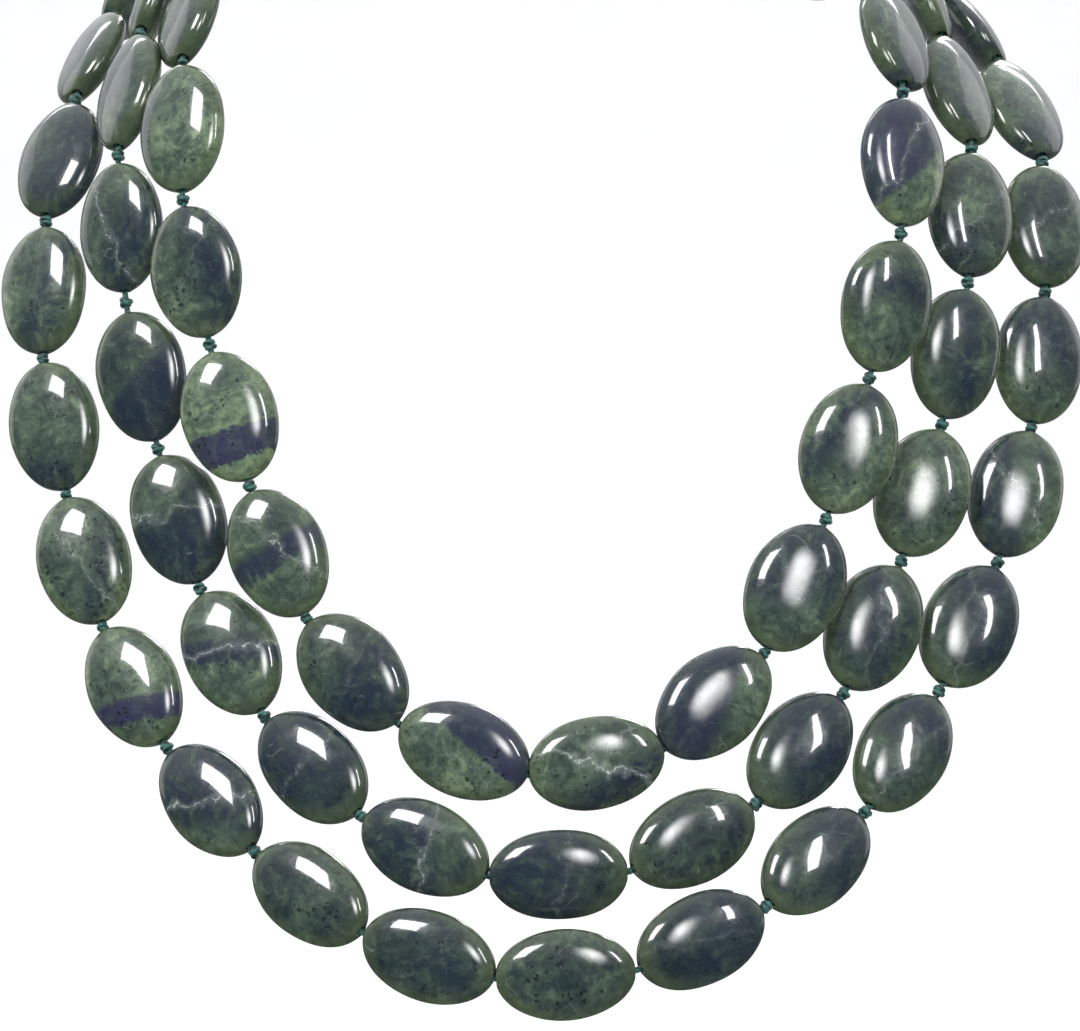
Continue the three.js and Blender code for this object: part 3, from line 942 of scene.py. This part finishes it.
def add_camera():
    data = bpy.data.cameras.new("camera")
    data.sensor_width = SENSOR
    data.lens = FOCAL_PIXELS / PHOTO_WIDTH * SENSOR
    data.clip_start = 0.01
    camera = bpy.data.objects.new("camera", data)
    bpy.context.scene.collection.objects.link(camera)
    way = direction(0, VIEW_DOWN)
    camera.location = Vector(VIEW_CENTRE) + way * VIEW_DISTANCE
    camera.rotation_euler = way.to_track_quat("Z", "Y").to_euler()
    bpy.context.scene.camera = camera


def add_lamp(name, place, target, width, height, power, dims_outwards=False):
    """An area light that the camera doesn't see, dimmer towards its edges if asked."""
    data = bpy.data.lights.new(name, "AREA")
    data.shape = "RECTANGLE"
    data.size, data.size_y = width, height
    data.energy = power
    if dims_outwards:
        data.use_nodes = True
        tree = data.node_tree
        on_lamp = add_node(tree, "ShaderNodeNewGeometry").outputs["Parametric"]
        out = add_node(tree, "ShaderNodeVectorMath", {0: on_lamp, 1: (0.5, 0.5, 0)},
                       operation="DISTANCE").outputs["Value"]
        strength = maths(tree, "POWER", fade(tree, out, 0.02, 0.48, 1, 0), GLOW_FALL)
        tree.links.new(strength, tree.nodes["Emission"].inputs["Strength"])
    lamp = bpy.data.objects.new(name, data)
    lamp.location = place
    lamp.visible_camera = False
    lamp.rotation_euler = (Vector(place) - Vector(target)).to_track_quat("Z", "Y").to_euler()
    bpy.context.scene.collection.objects.link(lamp)


def add_softbox(name, azimuth, elevation, distance, width, height, power, dims_outwards=False):
    place = Vector(VIEW_CENTRE) + direction(azimuth, elevation) * distance
    add_lamp(name, place, VIEW_CENTRE, width, height, power, dims_outwards)


def add_sweep():
    """A pale sweep that is floor in front and wall behind: a path in depth and height, carried
    straight across."""
    path = np.array([[-3.4, 0], [0, 0], [1.6, 0], [2, 0.05], [2.3, 0.22], [2.45, 0.5], [2.5, 1],
                     [2.5, 3.4]])
    across = np.linspace(-3.6, 3.6, 9)
    grid = np.stack(np.broadcast_arrays(
        across[None, :], path[:, :1], path[:, 1:] + FLOOR), axis=-1)
    rings, sides = grid.shape[:2]
    index = np.arange(rings * sides).reshape(rings, sides)
    quads = np.stack([index[:-1, :-1], index[:-1, 1:], index[1:, 1:], index[1:, :-1]],
                     axis=-1).reshape(-1, 4)
    mesh = bpy.data.meshes.new("sweep")
    mesh.from_pydata(grid.reshape(-1, 3).tolist(), [], quads.tolist())
    mesh.polygons.foreach_set("use_smooth", np.ones(len(mesh.polygons), bool))
    mesh.materials.append(paper_material())
    sweep = bpy.data.objects.new("sweep", mesh)
    bpy.context.scene.collection.objects.link(sweep)
    smoother = sweep.modifiers.new("smoother", "SUBSURF")
    smoother.levels = smoother.render_levels = 2
    sweep.visible_glossy = False


def add_lights():
    """Soft lights in front and at the sides, and two that wash the wall."""
    add_softbox("left_window", -38, 46, 1.15, 0.36, 0.42, 9.2)
    add_softbox("front_glow", 16, 30, 1.15, 0.55, 0.8, 24, dims_outwards=True)
    add_softbox("right_window", 43, 33, 1.15, 0.09, 0.4, 2.6)
    add_softbox("back_window", 160, 38, 1.4, 0.35, 0.45, 5)
    add_softbox("left_wall", -116, 15, 1.5, 0.8, 1.2, 2.2)
    add_softbox("right_wall", 116, 15, 1.5, 0.8, 1.2, 2.2)
    for name, x in (("left_wash", -0.9), ("right_wash", 0.9)):
        add_lamp(name, (x, 1.1, 1.3), (0, 2.4, -0.2), 1.0, 0.5, 12)


def add_world():
    """A pale sky that is brightest behind and above, and even where the camera sees it."""
    world = bpy.data.worlds.new("pale_room")
    world.use_nodes = True
    tree = world.node_tree
    way = add_node(tree, "ShaderNodeTexCoord").outputs["Generated"]
    behind = add_node(tree, "ShaderNodeVectorMath", {0: way, 1: (0, 0.6, 0.6)},
                      operation="DOT_PRODUCT").outputs["Value"]
    height = add_node(tree, "ShaderNodeSeparateXYZ", {0: way}).outputs[2]
    lit = times(tree, fade(tree, behind, -0.35, 0.85, 0.12, 1.0),
                fade(tree, height, -0.2, 0.5, 0.25, 1.0))
    seen = add_node(tree, "ShaderNodeLightPath").outputs["Is Camera Ray"]
    strength = add_node(tree, "ShaderNodeMix", {0: seen, 2: lit, 3: SEEN_BACKDROP}).outputs[0]
    backdrop = tree.nodes["Background"]
    tree.links.new(strength, backdrop.inputs["Strength"])
    backdrop.inputs["Color"].default_value = (0.95, 0.97, 1, 1)
    bpy.context.scene.world = world
    bpy.context.scene.view_settings.view_transform = "Standard"


def back_run(name, frames, first_front, knot, hole, jade, thread, luck):
    """The beads behind the neck on one side, each on its own, and the thread they hang on."""
    for i, frame in enumerate(frames):
        stone = BACK_STONES[(i + len(name)) % len(BACK_STONES)]
        make_piece(f"{name}_bead_{i + 1}", [bead_shell(frame, stone, luck)], jade, "jade", name)
    tie = tied_path(knot, hole, frames[0], luck)
    middle, way, gap = gap_between(frames[-1], first_front)
    last = knot_path(middle, way, first_front.normal, knot_size(gap), LAST_KNOT_TURN)
    end = first_front.middle - first_front.along * BACK_THREAD_END
    path = np.concatenate([tie, strand_path(frames, luck)[1:], last, [end]])
    make_piece(f"{name}_thread", [thread_shell(path)], thread, "thread", name)


def reversed_frame(frame):
    return Frame(frame.middle, -frame.along, -frame.side, frame.normal, frame.width)


def main():
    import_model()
    add_camera()
    add_sweep()
    add_lights()
    add_world()
    handling = handling_group()
    jade = jade_material(handling)
    thread = thread_material()
    silver = silver_material(handling)
    clear = LOOP_RADIUS + LOOP_WIRE + END_GAP + KNOT_RADIUS
    for number, (name, strand) in enumerate(STRANDS.items()):
        luck = np.random.default_rng(40 + number)
        left_hole = np.array([TUBE_LOOP, CLASP_MIDDLE, strand.loop_height])
        right_hole = np.array([SLIDE_LOOP, CLASP_MIDDLE, strand.loop_height])
        left_knot = left_hole - [clear, 0, 0]
        right_knot = right_hole + [clear, 0, 0]
        frames = bead_frames(strand.route, left_knot, right_knot)
        left = frames[: strand.behind_left]
        front = frames[strand.behind_left : len(frames) - strand.behind_right]
        right = [reversed_frame(f) for f in frames[: -strand.behind_right - 1 : -1]]
        for i, (frame, stone) in enumerate(zip(front, STONES[name])):
            node = f"{name}_bead_{i + 1:02d}"
            make_piece(f"{node}_jade", [bead_shell(frame, stone, luck)], jade, "jade", node)
        path = strand_path(front, luck)
        make_piece(f"{name}_thread_knotted", [thread_shell(path)], thread,
                   "thread", f"{name}_thread")
        back_run(f"{name}_back_left", left, front[0], left_knot, left_hole, jade, thread, luck)
        back_run(f"{name}_back_right", right, reversed_frame(front[-1]), right_knot,
                 right_hole, jade, thread, luck)
    make_clasp(silver)


main()
